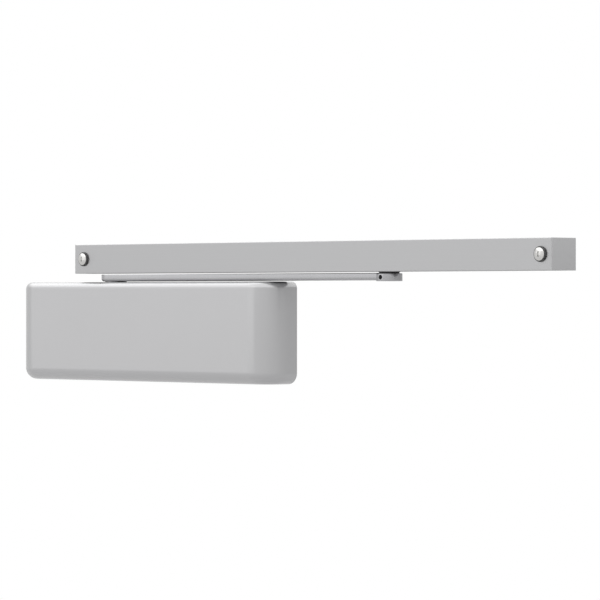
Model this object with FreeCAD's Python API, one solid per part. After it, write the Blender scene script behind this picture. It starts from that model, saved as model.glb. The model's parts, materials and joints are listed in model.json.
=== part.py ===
"""Surface-mounted door closer with a slide arm and a track.

X runs along the door, +Y points into the door and Z is up.  The origin is the centre of the
mounting plate's back face, which lies on the door.  The track's back lies in the same plane.
All sizes are in millimetres.
"""
import FreeCAD, Part
import math
import os
from FreeCAD import Vector

X_AXIS = Vector(1, 0, 0)
Y_AXIS = Vector(0, 1, 0)
Z_AXIS = Vector(0, 0, 1)

# ---- fits -------------------------------------------------------------------------------
running_fit = 0.05          # radial gap of a shaft or piston that turns or slides
sliding_gap = 0.2           # flat faces that slide past each other
seal_fit = 0.05             # radial gap of a ring that rubs on its bore
loose_gap = 0.3             # pieces that only have to clear each other
tolerance = 0.01            # when edges are picked by their place

# ---- cover ------------------------------------------------------------------------------
cover_length = 323.4
cover_height = 86.3
cover_wall = 2.0
cover_front_gap = 0.5       # between the body and the cover's front
cover_end_radius = 24.0     # upright front corners
cover_top_fillet = 6.0
cover_bottom_fillet = 10.0
arm_opening_gap = 1.5       # around the arm's boss, where it enters the cover

# ---- mounting plate ---------------------------------------------------------------------
plate_end_margin = 6.7      # inside the cover's hollow, at each end
plate_side_margin = 3.15    # inside the cover's hollow, above and below
plate_thickness = 3.0
plate_corner = 5.0
door_hole_radius = 3.2
door_hole_inset_x = 18.0    # from the plate's edges
door_hole_inset_z = 8.0

# ---- closer body ------------------------------------------------------------------------
pinion_x = -45.5
bore_radius = 12.0
body_back_wall = 2.5
body_front_wall = 2.7
housing_half_length = 17.0  # block round the pinion
body_edge = 2.0
left_chamber = 5.6          # oil space left of the piston at rest
right_chamber = 2.0         # space between the spring seat and the right plug
spring_length = 99.8        # as fitted, at rest
lug_length = 16.0
lug_reach = 11.0
lug_thickness = 8.0
lug_hole_radius = 2.75
body_screw_radius = 2.5
body_screw_head_radius = 4.25
body_screw_head_height = 5.0
body_screw_key = 2.0        # half the width of the hexagon socket

# ---- end plugs --------------------------------------------------------------------------
plug_depth = 14.0
plug_flange_lip = 1.6       # beyond the bore
plug_flange_thickness = 3.0
plug_key = 5.0
plug_key_depth = 6.0
plug_ring_offset = 4.0      # from the plug's inner face to its sealing ring
ring_wire = 1.0             # radius of the sealing rings' section
spindle_ring_wire = 0.97    # the same, for the ring round the adjusting spindle

# ---- pinion -----------------------------------------------------------------------------
gear_module = 1.0
gear_teeth = 12
gear_half_width = 9.0
pressure_angle = math.radians(25.0)
pinion_addendum = 0.9 * gear_module
pinion_dedendum = 1.05 * gear_module
rack_addendum = 0.8 * gear_module
rack_dedendum = 1.1 * gear_module
backlash = 0.2
shaft_radius = 6.0
shaft_square = 4.5          # half the width across flats
square_gap = 0.1
bearing_wall = 2.95
bearing_length = 8.0
bearing_step = 0.6          # from the bore to the bearing
seal_length = 2.4
gland_lip = 2.0             # gland nut's radius beyond the bearing's
gland_thread = 3.0
gland_flange = 3.0
gland_slot = 2.0
shaft_bottom_reach = 36.0

# ---- piston and spring ------------------------------------------------------------------
arm_travel = 145.0          # degrees
window_gap = 0.8
left_land = 15.0
right_land = 20.0
seal_groove_offset = 6.0
seal_groove_width = 3.0
seal_groove_depth = 1.6
check_bore_radius = 2.3
check_ball_radius = 2.0
check_seat_length = 3.0
check_seat_hole = 1.1
spring_wire = 1.6           # radius
spring_side_gap = 0.8       # spring in the bore
spring_turns = 13
seat_thickness = 8.0
seat_pilot_gap = 0.6        # pilot in the spring
seat_pilot_length = 5.0
adjust_travel = 10.0
spindle_radius = 4.0
spindle_flange_radius = 6.5
spindle_flange_thickness = 3.0
spindle_key = 2.0
spindle_key_depth = 5.0
spindle_pocket_gap = 1.0    # room for the spindle in the piston's end

# ---- adjusting valves -------------------------------------------------------------------
valve_inner_wall = 3.1      # between the bore and a valve's bore
valve_outer_wall = 1.9
valve_radius = 2.45
valve_length = 13.0
valve_needle = 5.0
valve_slot = 0.8
valve_slot_depth = 1.2
valve_recess = 1.0
valve_ring_wire = 0.6
valve_ring_offset = 6.0

# ---- cover clips ------------------------------------------------------------------------
clip_spacing = 150.0
clip_width = 18.0
clip_thickness = 1.2
clip_base = 10.0
clip_depth = 14.0
clip_screw_radius = 1.5
clip_screw_head_radius = 2.8
clip_screw_head_height = 1.6

# ---- arm --------------------------------------------------------------------------------
arm_length = 327.3          # pinion centre to stud centre
arm_thickness = 6.0
arm_clearance = 0.6         # arm over the cover's top
hub_radius = 12.7
hub_half_width = 11.0       # bar's half width where it leaves the hub
eye_radius = 10.7
eye_half_width = 9.0
eye_top_step = 0.4
eye_bottom_step = 0.7
arm_edge = 1.2
boss_radius = 9.5
boss_gap = 1.0              # boss above the upper gland nut
socket_roof = 4.0
arm_screw_radius = 2.5
arm_screw_head_radius = 5.0
arm_screw_head_height = 2.6
arm_screw_length = 16.0
arm_screw_key = 1.5
stud_radius = 4.0
set_screw_radius = 1.6
set_screw_recess = 1.4
ring_groove = 0.8

# ---- track ------------------------------------------------------------------------------
track_length = 555.5
track_left_reach = 42.0     # track's left end, left of the pinion
track_height = 25.4
track_depth = 28.4
track_wall = 2.4
track_gap = 1.0             # track over the arm
track_edge = 0.5
end_cap_thickness = 1.0
end_cap_plug = 5.0
end_cap_wall = 1.6
track_screw_inset = 11.7
track_screw_shank = 2.2     # plain part, inside the track
track_screw_radius = 2.4    # threaded part, behind the track
track_screw_hole = 2.7
track_screw_head_radius = 5.1
track_screw_rim = 0.5
track_screw_dome = 1.2
washer_radius = 6.15        # under the track screws' heads
washer_thickness = 1.5
track_screw_reach = 9.0     # past the track's back
track_screw_point = 3.5
track_screw_tip = 0.3
recess_floor = 0.3          # metal left under the cross recess
recess_reach = 2.4          # from the screw's axis to the end of a wing
recess_half_width = 0.5
spacer_radius = 4.5
buffer_length = 8.0

# ---- slide shoe -------------------------------------------------------------------------
shoe_length = 34.0
shoe_corner = 3.0
shoe_neck_length = 15.0
collar_radius = 8.3
collar_gap = 0.1
bushing_wall = 1.2
neck_wall = 1.05
retainer_radius = 7.0
retainer_thickness = 1.0
retainer_pocket_radius = 8.2
retainer_pocket_depth = 3.6

# ---- derived places ---------------------------------------------------------------------
pinion_y = -(plate_thickness + body_back_wall + bore_radius)
body_front = pinion_y - bore_radius - body_front_wall
cover_depth = cover_wall + cover_front_gap - body_front
plate_length = cover_length - 2 * (cover_wall + plate_end_margin)
plate_height = cover_height - 2 * (cover_wall + plate_side_margin)
door_hole_spacing_x = plate_length - 2 * door_hole_inset_x
door_hole_spacing_z = plate_height - 2 * door_hole_inset_z
valve_bore_radius = valve_radius + running_fit
valve_ring_mean = valve_radius + running_fit / 2 - valve_ring_wire
valve_offset = bore_radius + valve_inner_wall + valve_bore_radius
body_half_height = valve_offset + valve_bore_radius + valve_outer_wall
bearing_radius = shaft_radius + running_fit + bearing_wall
bearing_offset = bore_radius + bearing_step
gland_start = bearing_offset + bearing_length + seal_length
gland_radius = bearing_radius + gland_lip
housing_half_height = gland_start + gland_thread
plug_flange_radius = bore_radius + plug_flange_lip
spring_mean_radius = bore_radius - spring_side_gap - spring_wire
seat_pilot_radius = spring_mean_radius - spring_wire - seat_pilot_gap
bush_radius = stud_radius + running_fit + bushing_wall
track_slot = 2 * (bush_radius + neck_wall + sliding_gap)
pitch_radius = gear_module * gear_teeth / 2
gear_radius = pitch_radius + pinion_addendum
piston_travel = pitch_radius * math.radians(arm_travel)
window_left = pinion_x - gear_radius - window_gap - piston_travel
window_right = pinion_x + gear_radius + window_gap
piston_left = window_left - left_land
piston_right = window_right + right_land
left_plug_face = piston_left - left_chamber
body_left = left_plug_face - plug_depth
seat_left = piston_right + spring_length
seat_right = seat_left + seat_thickness
right_plug_face = seat_right + right_chamber
body_right = right_plug_face + plug_depth
body_back = -plate_thickness
body_edge_used = min(body_edge, body_front_wall)
gland_top = housing_half_height + gland_flange
boss_bottom = gland_top + boss_gap
cover_top = cover_height / 2
arm_bottom = cover_top + arm_clearance
arm_top = arm_bottom + arm_thickness
socket_top = arm_top - socket_roof
shaft_top = socket_top - sliding_gap
track_bottom = arm_top + track_gap
track_top = track_bottom + track_height
track_left = pinion_x - track_left_reach
track_right = track_left + track_length
stud_y = -track_depth / 2
arm_angle = math.degrees(math.asin((stud_y - pinion_y) / arm_length))
stud_x = pinion_x + arm_length * math.cos(math.radians(arm_angle))
eye_top = arm_top - eye_top_step
eye_bottom = arm_bottom - eye_bottom_step
track_screw_z = (track_bottom + track_top) / 2
track_screw_xs = (track_left + track_screw_inset, track_right - track_screw_inset)
shoe_bottom = track_bottom + track_wall + sliding_gap
shoe_top = track_top - track_wall - sliding_gap
retainer_floor = shoe_top - retainer_pocket_depth
retainer_bottom = retainer_floor + sliding_gap
stud_top = retainer_bottom + retainer_thickness + ring_groove
lug_xs = (body_left + lug_length / 2, body_right - lug_length / 2)
lug_z = body_half_height + lug_reach / 2
clip_outer = cover_height / 2 - cover_wall - loose_gap


# ---- shape helpers ----------------------------------------------------------------------
def block(x0, x1, y0, y1, z0, z1):
    """Box between two corners."""
    return Part.makeBox(x1 - x0, y1 - y0, z1 - z0, Vector(x0, y0, z0))


def rod(radius, start, axis, length):
    """Cylinder from a start point along an axis."""
    return Part.makeCylinder(radius, length, start, axis)


def tube(outer, inner, start, axis, length):
    """Hollow cylinder."""
    return rod(outer, start, axis, length).cut(rod(inner, start, axis, length))


def hexagon(half_width, start, axis, length):
    """Six-sided prism, for key sockets."""
    prism = None
    for turn in (0, 60, 120):
        slab = block(-half_width * 2, half_width * 2, -half_width, half_width, 0, length)
        slab.rotate(Vector(0, 0, 0), Z_AXIS, turn)
        prism = slab if prism is None else prism.common(slab)
    prism.Placement = FreeCAD.Placement(start, FreeCAD.Rotation(Z_AXIS, axis))
    return prism


def cone(radius0, radius1, start, axis, length):
    """Cone from radius0 at the start to radius1 at the end."""
    return Part.makeCone(radius0, radius1, length, start, axis)


def ring(mean_radius, section_radius, centre, axis):
    """Round sealing ring."""
    return Part.makeTorus(mean_radius, section_radius, centre, axis)


def fused(shapes):
    """One solid from several that touch."""
    whole = shapes[0]
    for shape in shapes[1:]:
        whole = whole.fuse(shape)
    return whole.removeSplitter()


def cut_all(shape, tools):
    """Shape with every tool cut away."""
    for tool in tools:
        shape = shape.cut(tool)
    return shape


def edges_where(shape, keep):
    """Edges whose midpoint box passes the test."""
    return [edge for edge in shape.Edges if keep(edge.BoundBox)]


def prism_from(points, z0, z1):
    """Upright prism on a plan outline of points."""
    corners = [Vector(x, y, z0) for x, y in points]
    face = Part.Face(Part.makePolygon(corners + [corners[0]]))
    return face.extrude(Vector(0, 0, z1 - z0))


# ---- cover ------------------------------------------------------------------------------
def cover_form(inset, extra_back):
    """Cover's outer form, or with an inset the hollow inside it."""
    half_length = cover_length / 2 - inset
    half_height = cover_height / 2 - inset
    front = -cover_depth + inset
    radius = cover_end_radius - inset
    turn = radius * (1 - math.sqrt(0.5))
    left_mid = Vector(-half_length + turn, front + turn, 0)
    right_mid = Vector(half_length - turn, front + turn, 0)
    back_left = Vector(-half_length, extra_back, 0)
    left_end = Vector(-half_length, front + radius, 0)
    front_left = Vector(-half_length + radius, front, 0)
    front_right = Vector(half_length - radius, front, 0)
    right_end = Vector(half_length, front + radius, 0)
    back_right = Vector(half_length, extra_back, 0)
    outline = Part.Wire([
        Part.makeLine(back_left, left_end),
        Part.Arc(left_end, left_mid, front_left).toShape(),
        Part.makeLine(front_left, front_right),
        Part.Arc(front_right, right_mid, right_end).toShape(),
        Part.makeLine(right_end, back_right),
        Part.makeLine(back_right, back_left),
    ])
    form = Part.Face(outline).extrude(Vector(0, 0, 2 * half_height))
    form.translate(Vector(0, 0, -half_height))

    def on_rim(z):
        def flat_at_z(box):
            level = box.ZLength < tolerance and abs(box.ZMin - z) < tolerance
            return level and box.YMin < extra_back - tolerance

        return flat_at_z

    form = form.makeFillet(cover_top_fillet - inset, edges_where(form, on_rim(half_height)))
    return form.makeFillet(cover_bottom_fillet - inset, edges_where(form, on_rim(-half_height)))


def make_cover():
    """Thin moulded shell, open at the back, with an opening over the pinion for the arm's boss."""
    opening = boss_radius + arm_opening_gap
    shell = cover_form(0, 0).cut(cover_form(cover_wall, cover_wall))
    return shell.cut(rod(opening, Vector(pinion_x, pinion_y, 0), Z_AXIS, cover_height))


# ---- mounting plate ---------------------------------------------------------------------
def make_mounting_plate():
    """Flat steel plate that is screwed to the door and carries the body and the clips."""
    plate = block(-plate_length / 2, plate_length / 2, -plate_thickness, 0,
                  -plate_height / 2, plate_height / 2)
    corners = edges_where(plate, lambda box: box.YLength > plate_thickness - tolerance)
    plate = plate.makeFillet(plate_corner, corners)
    holes = []
    for x in (-door_hole_spacing_x / 2, door_hole_spacing_x / 2):
        for z in (-door_hole_spacing_z / 2, door_hole_spacing_z / 2):
            holes.append(rod(door_hole_radius, Vector(x, 0, z), -Y_AXIS, plate_thickness))
    for x in lug_xs:
        for z in (-lug_z, lug_z):
            holes.append(rod(body_screw_radius, Vector(x, 0, z), -Y_AXIS, plate_thickness))
    for x, side in clip_places():
        z = side * (clip_outer - clip_base / 2)
        holes.append(rod(clip_screw_radius, Vector(x, 0, z), -Y_AXIS, plate_thickness))
    return cut_all(plate, holes)


def clip_places():
    """Each clip's place along the plate, and its side: 1 at the top and -1 at the bottom."""
    return [(x, side) for x in (-clip_spacing / 2, clip_spacing / 2) for side in (1, -1)]


def make_cover_clips():
    """Four bent spring clips that grip the cover's top and bottom walls."""
    clips = []
    for x, side in clip_places():
        outer = side * clip_outer
        inner = side * (clip_outer - clip_base)
        leaf = side * (clip_outer - clip_thickness)
        base_front = body_back - clip_thickness
        base = block(x - clip_width / 2, x + clip_width / 2, base_front, body_back,
                     min(inner, outer), max(inner, outer))
        stand = block(x - clip_width / 2, x + clip_width / 2, body_back - clip_depth, base_front,
                      min(leaf, outer), max(leaf, outer))
        hole = rod(clip_screw_radius, Vector(x, 0, (inner + outer) / 2), -Y_AXIS, clip_depth)
        clips.append(fused([base, stand]).cut(hole))
    return Part.makeCompound(clips)


def make_clip_screws():
    """Small pan-head screws that hold the clips on the plate."""
    screws = []
    for x, side in clip_places():
        z = side * (clip_outer - clip_base / 2)
        under_head = body_back - clip_thickness
        shank = rod(clip_screw_radius, Vector(x, under_head, z), Y_AXIS, -under_head)
        head = rod(clip_screw_head_radius, Vector(x, under_head, z), -Y_AXIS, clip_screw_head_height)
        slot_end = under_head - clip_screw_head_height
        slot = block(x - clip_screw_head_radius, x + clip_screw_head_radius, slot_end,
                     slot_end + clip_screw_head_height / 2, z - valve_slot / 2, z + valve_slot / 2)
        screws.append(fused([shank, head]).cut(slot))
    return Part.makeCompound(screws)


# ---- closer body ------------------------------------------------------------------------
def make_closer_body():
    """Cast body: a bored tube with a pinion housing, valve bores and four lugs."""
    tube_block = block(body_left, body_right, body_front, body_back, -body_half_height, body_half_height)
    housing = block(pinion_x - housing_half_length, pinion_x + housing_half_length,
                    body_front, body_back, -housing_half_height, housing_half_height)
    lugs = []
    holes = []
    for x in lug_xs:
        for side in (-1, 1):
            near = side * (body_half_height - body_edge)
            far = side * (body_half_height + lug_reach)
            lugs.append(block(x - lug_length / 2, x + lug_length / 2, body_back - lug_thickness,
                              body_back, min(near, far), max(near, far)))
            holes.append(rod(lug_hole_radius, Vector(x, body_back, side * lug_z), -Y_AXIS, lug_thickness))
    casting = fused([tube_block, housing])
    front_edges = edges_where(casting, lambda box: box.YMax < body_front + tolerance)
    casting = casting.makeFillet(body_edge_used, front_edges)
    casting = fused([casting] + lugs)
    bore = rod(bore_radius, Vector(body_left, pinion_y, 0), X_AXIS, body_right - body_left)
    shaft_hole = rod(bearing_radius, Vector(pinion_x, pinion_y, -housing_half_height), Z_AXIS,
                     2 * housing_half_height)
    glands = [
        rod(gland_radius, Vector(pinion_x, pinion_y, housing_half_height), -Z_AXIS, gland_thread),
        rod(gland_radius, Vector(pinion_x, pinion_y, -housing_half_height), Z_AXIS, gland_thread),
    ]
    valve_bores = [valve_bore(*place) for place in valve_places().values()]
    return cut_all(casting, [bore, shaft_hole] + glands + valve_bores + holes)


def make_body_screws():
    """Cap screws through the body's lugs into the plate."""
    screws = []
    for x in lug_xs:
        for z in (-lug_z, lug_z):
            under_head = body_back - lug_thickness
            shank = rod(body_screw_radius, Vector(x, under_head, z), Y_AXIS, -under_head)
            head = rod(body_screw_head_radius, Vector(x, under_head, z), -Y_AXIS, body_screw_head_height)
            top = Vector(x, under_head - body_screw_head_height, z)
            key = hexagon(body_screw_key, top, Y_AXIS, body_screw_head_height / 2)
            screws.append(fused([shank, head]).cut(key))
    return Part.makeCompound(screws)


def make_plug_ring(face, outward):
    """Plug's sealing ring; outward is 1 or -1 along X, away from the plug's inner face."""
    centre = Vector(face + outward * plug_ring_offset, pinion_y, 0)
    return ring(bore_radius - ring_wire, ring_wire, centre, X_AXIS)


def plug_ring_groove(face, outward):
    """Square groove round a plug, for its ring."""
    start = Vector(face + outward * plug_ring_offset - ring_wire, pinion_y, 0)
    return tube(bore_radius + ring_wire, bore_radius - 2 * ring_wire, start, X_AXIS, 2 * ring_wire)


def make_left_end_plug():
    """Threaded plug that closes the bore's left end, with a hexagon socket."""
    shank = rod(bore_radius, Vector(body_left, pinion_y, 0), X_AXIS, plug_depth)
    outside = body_left - plug_flange_thickness
    flange = rod(plug_flange_radius, Vector(outside, pinion_y, 0), X_AXIS, plug_flange_thickness)
    key = hexagon(plug_key, Vector(outside, pinion_y, 0), X_AXIS, plug_key_depth)
    return cut_all(fused([shank, flange]), [key, plug_ring_groove(left_plug_face, -1)])


def make_right_end_plug():
    """Threaded plug at the spring end, bored for the power-adjusting spindle."""
    shank = rod(bore_radius, Vector(right_plug_face, pinion_y, 0), X_AXIS, plug_depth)
    flange = rod(plug_flange_radius, Vector(body_right, pinion_y, 0), X_AXIS, plug_flange_thickness)
    reach = plug_depth + plug_flange_thickness
    hole = rod(spindle_radius + running_fit, Vector(right_plug_face, pinion_y, 0), X_AXIS, reach)
    recess = rod(spindle_flange_radius + running_fit, Vector(right_plug_face, pinion_y, 0), X_AXIS,
                 spindle_flange_thickness + sliding_gap)
    room_radius = spindle_radius + 2 * ring_wire
    seal_room = tube(room_radius, spindle_radius, spindle_ring_start(), X_AXIS, 2 * ring_wire)
    tools = [hole, recess, seal_room, plug_ring_groove(right_plug_face, 1)]
    return cut_all(fused([shank, flange]), tools)


def spindle_ring_start():
    """Where the room for the spindle's sealing ring begins."""
    return Vector(right_plug_face + plug_depth - 2 * ring_wire, pinion_y, 0)


# ---- pinion -----------------------------------------------------------------------------
def involute_angle(radius, base_radius):
    """Angle of the involute at a radius, from where it leaves the base circle."""
    if radius <= base_radius:
        return 0.0
    pressure = math.acos(base_radius / radius)
    return math.tan(pressure) - pressure


def tooth_outline():
    """Half angles of a pinion tooth at a few radii, from the root to the tip."""
    base_radius = pitch_radius * math.cos(pressure_angle)
    half_at_pitch = math.pi / (2 * gear_teeth) - backlash / (4 * pitch_radius)
    start = half_at_pitch + involute_angle(pitch_radius, base_radius)
    root_radius = pitch_radius - pinion_dedendum
    steps = 6
    outline = [(root_radius, start)]
    for step in range(steps + 1):
        radius = base_radius + (gear_radius - base_radius) * step / steps
        outline.append((radius, start - involute_angle(radius, base_radius)))
    return outline


def make_gear():
    """Pinion teeth, with one tooth pointing straight at the rack."""
    outline = tooth_outline()
    points = []
    for tooth in range(gear_teeth):
        middle = -math.pi / 2 + 2 * math.pi * tooth / gear_teeth
        flank = [(radius, middle - half) for radius, half in outline]
        flank += [(radius, middle + half) for radius, half in reversed(outline)]
        points += [(pinion_x + radius * math.cos(angle), pinion_y + radius * math.sin(angle))
                   for radius, angle in flank]
    return prism_from(points, -gear_half_width, gear_half_width)


def squared_end(z0, z1):
    """Square end of the pinion shaft, with its corners turned down to the shaft's size."""
    square = block(pinion_x - shaft_square, pinion_x + shaft_square,
                   pinion_y - shaft_square, pinion_y + shaft_square, z0, z1)
    return square.common(rod(shaft_radius, Vector(pinion_x, pinion_y, z0), Z_AXIS, z1 - z0))


def make_pinion_shaft():
    """Pinion and shaft in one, squared at both ends and tapped at the top for the arm's screw."""
    round_half = gland_top - gland_flange / 2
    journal = round_half - gear_half_width
    root_radius = pitch_radius - pinion_dedendum
    journals = [
        rod(shaft_radius, Vector(pinion_x, pinion_y, gear_half_width), Z_AXIS, journal),
        rod(shaft_radius, Vector(pinion_x, pinion_y, -gear_half_width), -Z_AXIS, journal),
        rod(root_radius, Vector(pinion_x, pinion_y, -gear_half_width), Z_AXIS, 2 * gear_half_width),
        squared_end(round_half, shaft_top),
        squared_end(-shaft_bottom_reach, -round_half),
    ]
    hole = rod(arm_screw_radius, Vector(pinion_x, pinion_y, shaft_top), -Z_AXIS,
               arm_screw_length - (arm_top - shaft_top))
    return fused([make_gear()] + journals).cut(hole)


def stacked_ring(outer, inner, start, length, side):
    """Ring round the pinion shaft, above (side 1) or below (side -1) the bore."""
    return tube(outer, inner, Vector(pinion_x, pinion_y, side * start), Z_AXIS * side, length)


def make_bearing(side):
    """Plain bearing for the pinion shaft."""
    return stacked_ring(bearing_radius, shaft_radius + running_fit, bearing_offset, bearing_length, side)


def make_shaft_seal(side):
    """Lip seal outside the bearing."""
    start = bearing_offset + bearing_length
    return stacked_ring(bearing_radius, shaft_radius + seal_fit, start, seal_length, side)


def make_gland_nut(side):
    """Threaded ring that holds the bearing and the seal in, with two spanner slots."""
    inner = shaft_radius + loose_gap
    nut = stacked_ring(gland_radius, inner, gland_start, gland_top - gland_start, side)
    top = side * gland_top
    floor = side * (gland_top - gland_flange / 2)
    slot = block(pinion_x - gland_radius, pinion_x + gland_radius, pinion_y - gland_slot / 2,
                 pinion_y + gland_slot / 2, min(top, floor), max(top, floor))
    return nut.cut(slot)


# ---- piston and spring ------------------------------------------------------------------
def make_rack_teeth():
    """Straight rack teeth on the window's front wall, in mesh with the pinion at rest."""
    pitch = math.pi * gear_module
    root = pinion_y - pitch_radius - rack_dedendum
    tip = pinion_y - pitch_radius + rack_addendum
    half_pitch_line = pitch / 4 - backlash / 4
    slope = math.tan(pressure_angle)
    half_root = half_pitch_line + rack_dedendum * slope
    half_tip = half_pitch_line - rack_addendum * slope
    count = int((piston_travel + 2 * gear_radius) / pitch)
    teeth = []
    for number in range(-count, 2):
        x = pinion_x + (number - 0.5) * pitch
        if x - half_root < window_left or x + half_root > window_right:
            continue
        points = [(x - half_root, root), (x + half_root, root), (x + half_tip, tip), (x - half_tip, tip)]
        teeth.append(prism_from(points, -gear_half_width, gear_half_width))
    return teeth


def make_piston():
    """Piston with a window for the pinion, a rack on one side and a check-valve bore."""
    radius = bore_radius - running_fit
    round_form = rod(radius, Vector(piston_left, pinion_y, 0), X_AXIS, piston_right - piston_left)
    piston = round_form.copy()
    window = block(window_left, window_right, pinion_y - pitch_radius - rack_dedendum,
                   pinion_y + gear_radius + window_gap, -bore_radius, bore_radius)
    groove = tube(bore_radius, radius - seal_groove_depth, seal_groove_start(), X_AXIS, seal_groove_width)
    spring_pocket = rod(spindle_radius + spindle_pocket_gap, Vector(piston_right, pinion_y, 0), -X_AXIS,
                        right_land / 2)
    check_bore = rod(check_bore_radius, Vector(piston_left, pinion_y, 0), X_AXIS, left_land)
    piston = cut_all(piston, [window, groove, spring_pocket, check_bore])
    teeth = [tooth.common(round_form) for tooth in make_rack_teeth()]
    return fused([piston] + teeth)


def seal_groove_start():
    """Left side of the piston seal's groove."""
    return Vector(piston_left + seal_groove_offset, pinion_y, 0)


def make_piston_seal():
    """Sliding ring in the piston's groove."""
    inner = bore_radius - running_fit - seal_groove_depth
    return tube(bore_radius - seal_fit, inner, seal_groove_start(), X_AXIS, seal_groove_width)


def make_check_valve_seat():
    """Pressed-in seat of the piston's check valve."""
    start = Vector(piston_left, pinion_y, 0)
    return tube(check_bore_radius, check_seat_hole, start, X_AXIS, check_seat_length)


def make_check_valve_ball():
    """Steel ball that rests against the seat's hole."""
    sink = check_ball_radius - math.sqrt(check_ball_radius ** 2 - check_seat_hole ** 2)
    centre = Vector(piston_left + check_seat_length + check_ball_radius - sink, pinion_y, 0)
    return Part.makeSphere(check_ball_radius, centre)


def make_closer_spring():
    """Closing spring between the piston and the spring seat."""
    height = spring_length - 2 * spring_wire
    helix = Part.makeHelix(height / spring_turns, height, spring_mean_radius)
    section = Part.Wire(Part.makeCircle(spring_wire, Vector(spring_mean_radius, 0, 0), Y_AXIS))
    coil = Part.Wire(helix.Edges).makePipeShell([section], True, True)
    start = Vector(piston_right + spring_wire, pinion_y, 0)
    coil.Placement = FreeCAD.Placement(start, FreeCAD.Rotation(Z_AXIS, X_AXIS))
    return coil


def make_spring_seat():
    """Nut on the adjusting spindle that the spring pushes on."""
    disc = rod(bore_radius - running_fit, Vector(seat_left, pinion_y, 0), X_AXIS, seat_thickness)
    pilot = rod(seat_pilot_radius, Vector(seat_left, pinion_y, 0), -X_AXIS, seat_pilot_length)
    hole = rod(spindle_radius + running_fit, Vector(seat_left - seat_pilot_length, pinion_y, 0), X_AXIS,
               seat_thickness + seat_pilot_length)
    return fused([disc, pilot]).cut(hole)


def make_power_adjust_screw():
    """Spindle that turns in the right plug and moves the spring seat."""
    inner_end = seat_left - seat_pilot_length - adjust_travel
    outer_end = body_right + plug_flange_thickness
    spindle = rod(spindle_radius, Vector(inner_end, pinion_y, 0), X_AXIS, outer_end - inner_end)
    flange_start = Vector(right_plug_face, pinion_y, 0)
    flange = rod(spindle_flange_radius, flange_start, X_AXIS, spindle_flange_thickness)
    key = hexagon(spindle_key, Vector(outer_end, pinion_y, 0), -X_AXIS, spindle_key_depth)
    return fused([spindle, flange]).cut(key)


def make_spindle_ring():
    """Sealing ring round the spindle, in the right plug."""
    centre = spindle_ring_start() + X_AXIS * ring_wire
    return ring(spindle_radius + running_fit + spindle_ring_wire, spindle_ring_wire, centre, X_AXIS)


# ---- adjusting valves -------------------------------------------------------------------
def valve_places():
    """Each valve's outer end, as (x, z) and its direction into the body along X."""
    return {
        "sweep_valve": (body_left, valve_offset, 1),
        "latch_valve": (body_left, -valve_offset, 1),
        "backcheck_valve": (body_right, valve_offset, -1),
    }


def valve_bore(x, z, inward):
    """Blind bore for one valve, drilled from the end of the body."""
    length = valve_recess + valve_length + valve_needle + loose_gap
    return rod(valve_bore_radius, Vector(x, pinion_y, z), X_AXIS * inward, length)


def make_valve(x, z, inward):
    """Needle valve with a screwdriver slot and a groove for its ring."""
    head = x + inward * valve_recess
    axis = X_AXIS * inward
    barrel = rod(valve_radius, Vector(head, pinion_y, z), axis, valve_length)
    needle = cone(valve_radius, valve_radius / 4, Vector(head + inward * valve_length, pinion_y, z), axis,
                  valve_needle)
    slot_floor = head + inward * valve_slot_depth
    slot = block(min(head, slot_floor), max(head, slot_floor), pinion_y - valve_radius,
                 pinion_y + valve_radius, z - valve_slot / 2, z + valve_slot / 2)
    groove_start = valve_ring_centre(x, z, inward) - X_AXIS * valve_ring_wire
    groove_floor = valve_ring_mean - valve_ring_wire
    groove = tube(valve_bore_radius, groove_floor, groove_start, X_AXIS, 2 * valve_ring_wire)
    return cut_all(fused([barrel, needle]), [slot, groove])


def valve_ring_centre(x, z, inward):
    """Middle of one valve's sealing ring."""
    return Vector(x + inward * (valve_recess + valve_ring_offset), pinion_y, z)


def make_valve_ring(x, z, inward):
    """Sealing ring of one valve."""
    return ring(valve_ring_mean, valve_ring_wire, valve_ring_centre(x, z, inward), X_AXIS)


# ---- arm --------------------------------------------------------------------------------
def arm_bar():
    """Tapered bar from the hub to the eye, with softened edges."""
    hub_x = pinion_x + math.sqrt(hub_radius ** 2 - hub_half_width ** 2)
    eye_x = pinion_x + arm_length - math.sqrt(eye_radius ** 2 - eye_half_width ** 2)
    points = [
        (hub_x, pinion_y - hub_half_width),
        (eye_x, pinion_y - eye_half_width),
        (eye_x, pinion_y + eye_half_width),
        (hub_x, pinion_y + hub_half_width),
    ]
    return prism_from(points, arm_bottom, arm_top)


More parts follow.
